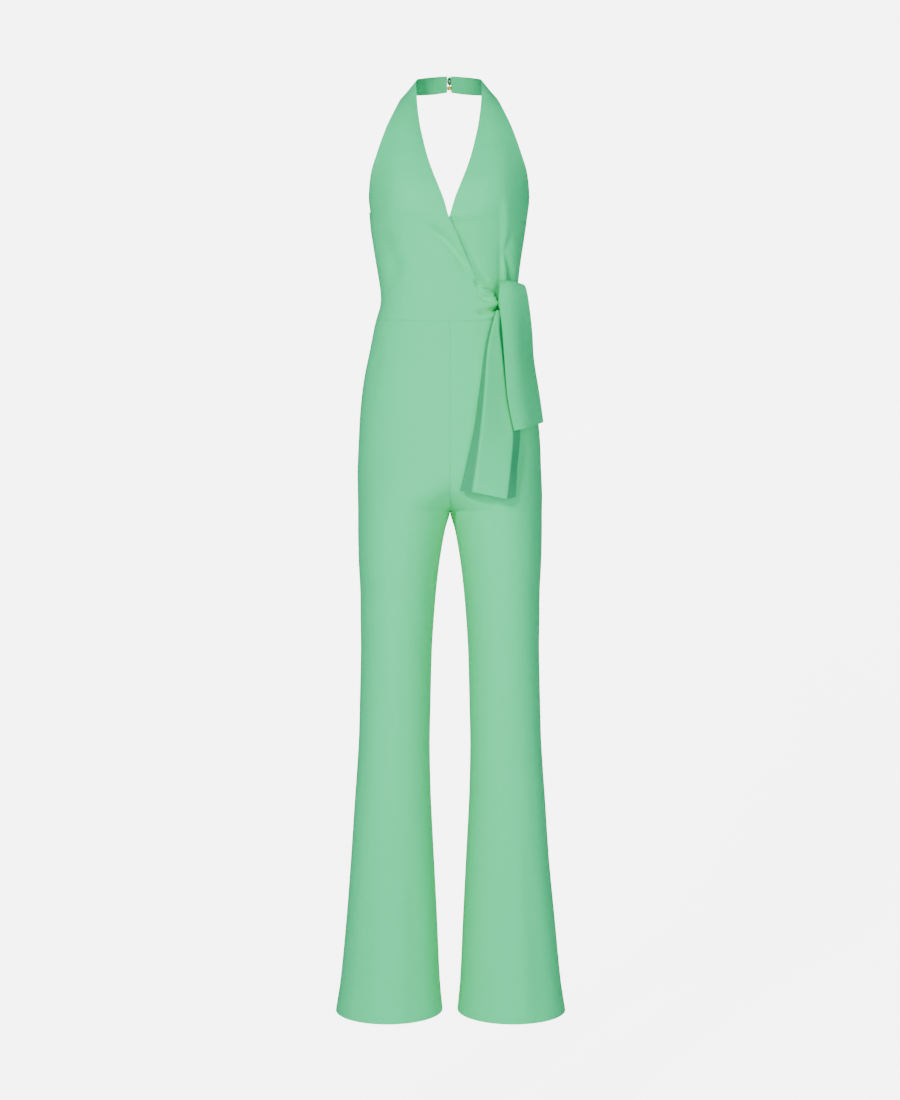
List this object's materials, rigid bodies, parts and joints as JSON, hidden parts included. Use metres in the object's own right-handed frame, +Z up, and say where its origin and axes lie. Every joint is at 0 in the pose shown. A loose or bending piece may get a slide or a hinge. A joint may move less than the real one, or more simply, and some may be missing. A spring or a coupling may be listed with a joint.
{
  "type": "halter-neck wrap jumpsuit",
  "caption": "Sleeveless halter jumpsuit, wrap front tied at one side, low back, waist seam and flared legs, filled out as worn.",
  "frame": {"origin": "on the axis of the wearer's neck, level with the middle of the neck band at centre back", "axes": "+X the wearer's left, -Y the front, +Z up along the body"},
  "size_m": [0.377, 0.2553, 1.5482],
  "materials": {
    "crepe": "smooth matte crepe with a soft sheen",
    "band_cloth": "the same crepe folded double, in its own shade",
    "thread": "twisted sewing thread",
    "gold_metal": "small plated metal hook"
  },
  "bodies": {
    "root": {"front_bodice_right": "crepe", "front_bodice_left": "crepe", "back_bodice_right": "crepe", "back_bodice_left": "crepe", "neck_band_right": "band_cloth", "neck_band_left": "band_cloth", "neck_loop": "thread", "neck_hook": "gold_metal", "front_leg_right": "crepe", "front_leg_left": "crepe", "back_leg_right": "crepe", "back_leg_left": "crepe", "tie_knot": "crepe", "tie_upper_tail": "crepe", "tie_lower_tail": "crepe"}
  },
  "joints": []
}
